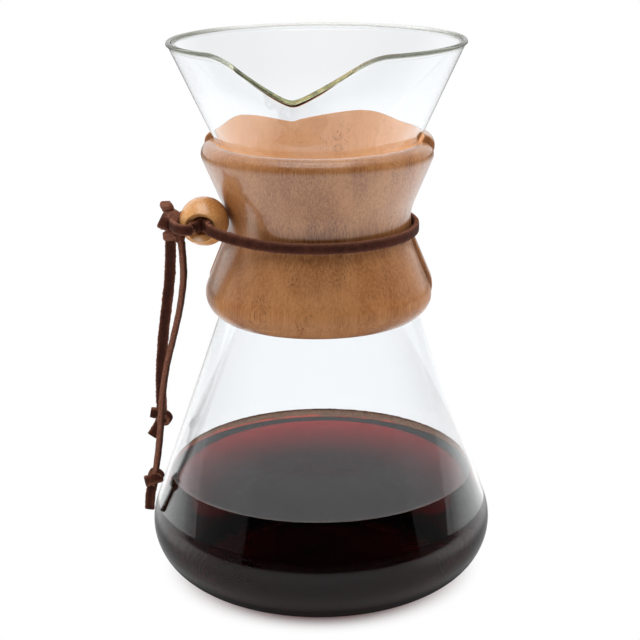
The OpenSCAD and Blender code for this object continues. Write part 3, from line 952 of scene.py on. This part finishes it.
def bead_outline():
    """The bead's closed section: over the ball from mouth to mouth, then back through the bore."""
    mouth = math.asin(mouth_r / bead_r)
    ball = [(bead_r * math.sin(a), bead_r * math.cos(a)) for a in np.linspace(mouth, math.pi - mouth, 60)]
    mouth_z = bead_r * math.cos(mouth)
    cone_z = mouth_z - (mouth_r - hole_r)
    far_half = [(hole_r, cone_z - 0.4 * mm), (hole_r + 0.3 * mm, cone_z + 0.4 * mm),
                (mouth_r - 0.25 * mm, mouth_z + 0.02 * mm)]
    near_half = [(r, -z) for r, z in far_half[::-1]]
    return np.array(ball + near_half + [(hole_r, 0)] + far_half)


outline = bead_outline()
spin = np.linspace(0, 2 * math.pi, 72, endpoint=False)
bead_rows = [bead_at + outline[:, :1] * (hole_side * math.cos(a) + hole_up * math.sin(a))
             + outline[:, 1:] * hole_dir for a in spin]
bead = wear(skin("bead_wood", bead_rows + bead_rows[:1], (None, None), 30), bead_wood)
stands_for(bead, "bead", "bead")
print("bead at", [round(v / mm, 1) for v in bead_at])

# %% [markdown]
# ## The thong round the waist
# The lace lies in the collar's waist, comes off it at the front, and both strands pass through the bead in
# opposite directions before they meet in the knot. A cloth simulation could pull it tight, but its way is
# known, so it is swept along arcs and bends. In the bead's hole the strands are squeezed until they fill it.

# %% Wrap the thong
thong_z = neck_z - 4.2 * mm
thong_gap = 0.3 * mm
wrap_leave = math.radians(258)
front_reach = (16 * mm, 5 * mm)
side_reach = (5 * mm, 4 * mm)
waist_centre_r = waist_corner_r + waist_round / math.cos(collar_lean)
lace_edges = [thong_z + s * thong_w / 2 - waist_z - rise for s in (-1, 1) for rise in (0, rear_rise)]
waist_there = max(waist_centre_r - math.sqrt(waist_round ** 2 - edge ** 2) for edge in lace_edges)
wrap_r = waist_there + thong_gap + thong_t / 2
hole_half = bead_r - 1 * mm
strand_apart = (thong_t + 0.5 * mm) / 2
mouth_spread = 2.1 * mm
mouth_sag = 0.9 * mm
upright = np.array([0.0, 0, 1])


def on_wrap(angle):
    return np.array([wrap_r * math.cos(angle), wrap_r * math.sin(angle), thong_z])


print("radius of the wrap in mm:", round(wrap_r / mm, 2))


# %% Lead the strands through the bead
strand_swell = 0.65


def in_hole(side, sag):
    """Points and width directions of a strand from the bead's front mouth, where it sags, to the rear one."""
    points, wide = [], []
    for t in np.linspace(0, 1, 25):
        turn = side + math.pi * np.clip((t - 0.25) / 0.75, 0, 1)
        spread = mouth_spread * np.interp(t, (0.08, 0.2, 0.28), (1, 0.2, 0))
        out = hole_side * math.cos(turn) + hole_up * math.sin(turn)
        points.append(bead_at + hole_dir * hole_half * (1 - 2 * t) + out * (strand_apart + spread)
                      - hole_up * sag * np.interp(t, (0.08, 0.25), (1, 0)))
        wide.append(hole_up * math.cos(turn) - hole_side * math.sin(turn))
    return points, wide


def bend(start, start_dir, end, end_dir, reach):
    """Points of a smooth bend from one place and direction to another."""
    b, c = start + start_dir * reach[0], end - end_dir * reach[1]
    return [(1 - t) ** 3 * start + 3 * (1 - t) ** 2 * t * b + 3 * (1 - t) * t * t * c + t ** 3 * end
            for t in np.linspace(0, 1, 7)[1:-1]]


rear_loop = [(-0.14, 1.2, 0.1), (-0.45, 1.3, 0.08), (-0.77, 1.16, 0.04), (-1.04, 0.84, -0.02),
             (-1.27, 0.34, -0.05)]
front_loop = [(-0.40, -1.05, -0.13), (-0.62, -1.12, -0.12), (-0.86, -1.02, -0.10), (-1.08, -0.74, -0.08),
              (-1.29, -0.3, -0.06)]


def by_bead(loop):
    return [bead_at + bead_r * np.array(p) for p in loop]


def strand(name, first, hole, loop, seed):
    """A stretch of the thong: its wrap, the bead's hole and the loop into the knot."""
    points, wide = hole
    route = np.array(first + points + by_bead(loop))
    widths = np.array([upright] * len(first) + wide + [-upright] * len(loop))
    fine = smooth_route(route, lace_step)
    run = run_along(route)
    wide_fine = resampled(widths, run, np.linspace(0, run[-1], len(fine)))
    ends = ((0, -1, 0), fine[-1] - fine[-2])
    in_bead = np.abs((fine - bead_at) @ hole_dir) / hole_half
    near = np.linalg.norm(fine - bead_at, axis=1) < bead_r
    swell = np.where(near, 1 + strand_swell * np.clip(1.7 - 2 * in_bead, 0, 1), 1.0)
    piece = skin(name, lace_rows(fine, wide_fine, seed, ends=ends, swell=swell), ("fan", "fan"), 50)
    name_edges(piece, len(fine))
    return wear(piece, thong_leather)


# %% Lay the three stretches of the thong
front_points, front_wide = in_hole(0, mouth_sag)
side_points, side_wide = in_hole(math.pi, 0)
front_arc = [on_wrap(a) for a in np.linspace(2 * math.pi, wrap_leave, 18)]
leave_dir = np.array([math.sin(wrap_leave), -math.cos(wrap_leave), 0])
front_first = front_arc + bend(front_arc[-1], leave_dir, front_points[0], -hole_dir, front_reach)
to_front = np.array([0, -1.0, 0])
side_first = [on_wrap(math.pi)] + bend(on_wrap(math.pi), to_front, side_points[-1], hole_dir, side_reach)
rear_arc = [on_wrap(a) for a in np.linspace(0, math.pi, 31)]

thong_front = strand("thong_front_lace", front_first, (front_points, front_wide), rear_loop, 61)
thong_side = strand("thong_side_lace", side_first, (side_points[::-1], side_wide[::-1]), front_loop, 67)
thong_rear = lace("thong_rear_lace", rear_arc, upright, 71, ends=((0, 1, 0), (0, -1, 0)))[0]

for piece, node, body, way in ((thong_front, "thong_front", "front_half", -1),
                               (thong_side, "thong_side", "front_half", -1),
                               (thong_rear, "thong_rear", "rear_half", 1)):
    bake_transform(piece)
    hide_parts(node)
    print(piece.name, "faces:", len(piece.data.polygons))

# %% [markdown]
# ## The main knot
# Both strands and both tails meet in one fat knot beside the bead. From outside one sees bands of lace wound
# round each other, a stub that stands up and the rough start of the tails below. As with the end knots, only
# the stretches that show are swept, round a core.

# %% Tie the main knot
knot_parts = [
    band("knot_left", from_knot((-0.9, 0, 2.8)), (0.40, 0.30, 0.9), (2.5 * mm, 2.9 * mm), 81, start=2.2,
         turns=1.15, climb=1.4 * mm, width=5.0 * mm),
    band("knot_right", from_knot((1.9, -0.4, 5.2)), (-0.6, 0.25, 0.8), (1.5 * mm, 2.2 * mm), 83, start=1.0,
         turns=1.1, width=4.4 * mm, raw=1.0),
    band("knot_low", from_knot((0.5, 0.2, -1.9)), (-0.15, 0.3, 1), (2.5 * mm, 3.0 * mm), 85, start=2.0,
         turns=1.1, width=3.4 * mm, raw=0.8),
    band("knot_low_right", from_knot((3.9, -1.6, -2.6)), (0.25, 0.3, 1), (0.9 * mm, 1.5 * mm), 86, start=0.4,
         turns=1.1, width=3.4 * mm, raw=0.4),
    lace("knot_stub", from_knot([(0.3, 0.6, 4), (-0.3, 0.5, 7), (-0.9, -0.4, 9.4), (-1.2, -2.0, 11.0)]),
         face_on, 87, width=4.4 * mm, thick=2.6 * mm, raw=0.9)[0],
    lace("knot_core", from_knot([(0.6, 0, -3.6), (0.2, 0, 0), (0.4, 0, 4), (0.2, 0.2, 8)]), (0, 1, 0.2), 89,
         width=4.8 * mm, thick=3.8 * mm)[0],
    lace("knot_tail_start", from_knot([(1.0, -0.8, -1.4), (3.6, -1.9, -2.4), (4.7, -2.3, -4.2),
                                        (4.8, -2.4, -5.2)]), edge_on, 90)[0]]
main_knot = joined("thong_knot_bands", knot_parts)
stands_for(main_knot, "thong_knot", "front_half")
print("main knot faces:", len(main_knot.data.polygons))

# %% [markdown]
# ## White floor
# The picture's ground is pure white with a soft shadow close to the base. The floor is a plain pale sheet.
# Near the object it is lit as any sheet is, so the shadow stays, and further out it shows plain white to the
# camera and to rays that glass and lacquer send on. Seen through glass it is a touch brighter, because each
# wall takes a little of it away. In a reflection it is dark close to the base, where the shadow lies, and
# dimmer again far off, where the studio ends. In front, sharp mirrors such as glass show it dimmer. A plain
# white background would have no shadow and nothing for the glass to bend.

# %% Lay the floor
floor_r = 6.0
white_seen = (50 * mm, 68 * mm)
white_bent = (52 * mm, 110 * mm)
pale_far = (0.6, 1.6)
glass_gain = 0.13
far_loss = 0.19
mirror_reach = 2.0
mirror_stops = [(61 * mm, 0.005), (69 * mm, 0.42), (94 * mm, 0.40), (108 * mm, 0.45), (136 * mm, 1.0),
                (165 * mm, 1.25), (0.3, 1.2), (0.9, 0.35), (1.6, 0.15)]
front_stops = [(61 * mm, 0.005), (69 * mm, 0.44), (94 * mm, 0.43), (108 * mm, 0.47), (136 * mm, 0.54),
               (165 * mm, 0.54), (0.3, 0.54), (0.9, 0.3), (1.6, 0.15)]
front_part = (0.05, 0.7)


def floor_finish():
    f = Finish("white_floor", Base_Color=(0.94, 0.94, 0.94), Roughness=0.9, Specular_IOR_Level=0.0)
    path = f.add("LightPath").outputs
    straight = path["Is Camera Ray"]
    by_glass = path["Is Transmission Ray"]
    seen = f.maths("MAXIMUM", straight, f.maths("MAXIMUM", path["Is Glossy Ray"], by_glass))
    where = f.add("TexCoord").outputs["Object"]
    away = f.add("VectorMath", {"operation": "LENGTH"}, **{"0": where}).outputs["Value"]
    by_mirror = f.maths("MULTIPLY", path["Is Glossy Ray"], f.maths("SUBTRACT", 1.0, by_glass))

    def rising(value, start_end):
        return f.add("MapRange", {"interpolation_type": "SMOOTHSTEP"}, Value=value,
                     **{"From Min": start_end[0], "From Max": start_end[1]}).outputs["Result"]

    def mirror_level(stops):
        stops = [(r / mirror_reach, level) for r, level in stops]
        return f.ramp(f.maths("DIVIDE", away, mirror_reach), *stops)

    far = f.maths("ADD", f.maths("MULTIPLY", straight, rising(away, white_seen)),
                  f.maths("ADD", f.maths("MULTIPLY", by_glass, rising(away, white_bent)), by_mirror))
    gain = f.maths("SUBTRACT", glass_gain, f.maths("MULTIPLY", rising(away, pale_far), far_loss))
    forward = f.maths("MULTIPLY", f.add("SeparateXYZ", Vector=where).outputs["Y"], -1.0)
    in_front = rising(f.maths("DIVIDE", forward, away), front_part)
    sharp_front = f.maths("MULTIPLY", in_front, path["Is Singular Ray"])
    mirrored = f.mix(sharp_front, mirror_level(mirror_stops), mirror_level(front_stops))
    through = f.maths("ADD", f.maths("MULTIPLY", by_glass, f.maths("ADD", gain, 1.0)),
                      f.maths("ADD", straight, f.maths("MULTIPLY", by_mirror, mirrored)))
    glow = f.add("Emission", Color=(1.0, 1.0, 1.0), Strength=through)
    both = f.add("MixShader")
    f.set(both, {"0": f.maths("MULTIPLY", far, seen), "1": f.shader.outputs["BSDF"],
                 "2": glow.outputs["Emission"]})
    f.tree.links.new(both.outputs["Shader"], f.output.inputs["Surface"])
    return f.material


floor_rows = turned([(r, 0.0) for r in (floor_r, 1.0, 0.3, 0.1)], even_angles)
floor = wear(skin("floor", floor_rows, (None, "fan")), floor_finish())
print("floor radius in m:", floor_r)

# %% [markdown]
# ## Studio light
# Soft boxes above and at both sides light the object evenly. Point lamps would draw hard shadows. Only the
# box above shows in the lacquer and the glass. The other two give light without being mirrored, so that no
# bright squares stand in the coffee.

# %% Hang the soft boxes
def soft_box(name, turn, lift, away, size, radiance, mirrored):
    """An area light aimed at the carafe.

    turn is the angle from the spout, lift the height angle, and mirrored says whether glass and lacquer
    show it."""
    data = bpy.data.lights.new(name, "AREA")
    data.shape = "RECTANGLE"
    data.size, data.size_y = size
    data.energy = math.pi * size[0] * size[1] * radiance
    box = bpy.data.objects.new(name, data)
    a, e = math.radians(turn), math.radians(lift)
    aim = Vector((0, 0, 0.1))
    box.location = aim + away * Vector((math.sin(a) * math.cos(e), -math.cos(a) * math.cos(e), math.sin(e)))
    box.rotation_mode = "QUATERNION"
    box.rotation_quaternion = (aim - box.location).to_track_quat("-Z", "Y")
    box.visible_camera = False
    box.visible_glossy = mirrored
    box.visible_transmission = mirrored
    bpy.context.scene.collection.objects.link(box)
    print(name, "at", [round(v, 2) for v in box.location])


soft_box("soft_box_above", turn=0, lift=78, away=1.1, size=(1.0, 1.0), radiance=2.1, mirrored=True)
soft_box("soft_box_left", turn=-88, lift=28, away=1.2, size=(0.7, 0.7), radiance=4.1, mirrored=False)
soft_box("soft_box_right", turn=112, lift=26, away=1.2, size=(0.7, 0.7), radiance=4.6, mirrored=False)

# %% [markdown]
# ## The room
# The coffee is a good mirror, and it tells what stood round it: white behind, grey at the sides, dark where
# the camera was, and a pale ceiling. Cards and walls would stand in the way of other views, so the room is
# painted on the world, by the direction of a ray. To the camera itself the room is plain white.

# %% Paint the room
dark_middle = math.radians(16)
room_stops = [(0, 0.01), (60, 0.01), (60.5, 0.10), (78, 0.10), (92, 0.14), (108, 0.27), (126, 0.75),
              (140, 1.0), (180, 0.85)]
ceiling = 0.9
ceiling_edge = (0.55, 0.8)

world = bpy.data.worlds.new("studio")
bpy.context.scene.world = world
world.use_nodes = True
nodes, links = world.node_tree.nodes, world.node_tree.links


def world_node(kind, *inputs, **settings):
    node = nodes.new("ShaderNode" + kind)
    for name, value in settings.items():
        setattr(node, name, value)
    for i, value in enumerate(inputs):
        if isinstance(value, bpy.types.NodeSocket):
            links.new(value, node.inputs[i])
        elif value is not None:
            node.inputs[i].default_value = value
    return node


direction = world_node("TexCoord").outputs["Generated"]
turned_room = world_node("VectorRotate", direction, None, None, -dark_middle, rotation_type="Z_AXIS")
parts = world_node("SeparateXYZ", turned_room.outputs["Vector"]).outputs
sideways = world_node("Math", parts["X"], operation="ABSOLUTE").outputs[0]
ahead_part = world_node("Math", parts["Y"], -1.0, operation="MULTIPLY").outputs[0]
from_dark = world_node("Math", sideways, ahead_part, operation="ARCTAN2").outputs[0]
half_turn = world_node("Math", from_dark, math.pi, operation="DIVIDE").outputs[0]
walls = world_node("ValToRGB", half_turn)
while len(walls.color_ramp.elements) < len(room_stops):
    walls.color_ramp.elements.new(0.5)
for element, (degrees, grey) in zip(walls.color_ramp.elements, room_stops):
    element.position = degrees / 180
    element.color = (grey, grey, grey, 1)
lifted = world_node("MapRange", parts["Z"], *ceiling_edge, 0.0, 1.0, interpolation_type="SMOOTHSTEP")
room = world_node("Mix", data_type="FLOAT")
links.new(lifted.outputs["Result"], room.inputs[0])
links.new(walls.outputs["Color"], room.inputs[2])
room.inputs[3].default_value = ceiling
seen = world_node("LightPath").outputs["Is Camera Ray"]
level = world_node("Math", seen, room.outputs[0], operation="MAXIMUM").outputs[0]
links.new(level, nodes["Background"].inputs["Strength"])
nodes["Background"].inputs["Color"].default_value = (1, 1, 1, 1)
bpy.context.scene.view_settings.view_transform = "Standard"
print("room painted with", len(room_stops), "stops")
